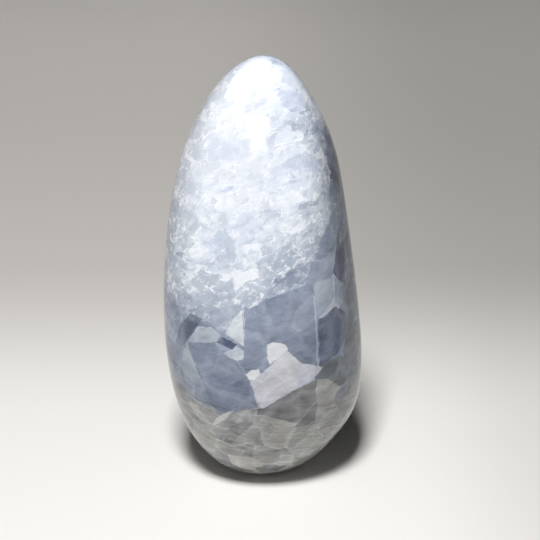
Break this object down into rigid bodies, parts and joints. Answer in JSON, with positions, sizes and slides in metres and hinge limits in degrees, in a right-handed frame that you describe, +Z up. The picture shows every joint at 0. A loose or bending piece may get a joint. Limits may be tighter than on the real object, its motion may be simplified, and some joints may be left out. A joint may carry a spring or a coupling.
{
  "type": "blue calcite freeform",
  "caption": "Tall polished egg-shaped freeform of banded, coarse-grained pale blue calcite, standing on a small flat ground foot.",
  "frame": {"origin": "centre of the flat foot that the stone stands on", "axes": "+Z up along the stone's height, -Y towards the front face, +X to the right seen from the front"},
  "size_m": [0.072, 0.063, 0.1582],
  "materials": {
    "calcite": "polished"
  },
  "bodies": {
    "root": {"calcite_freeform": "calcite"}
  },
  "joints": []
}
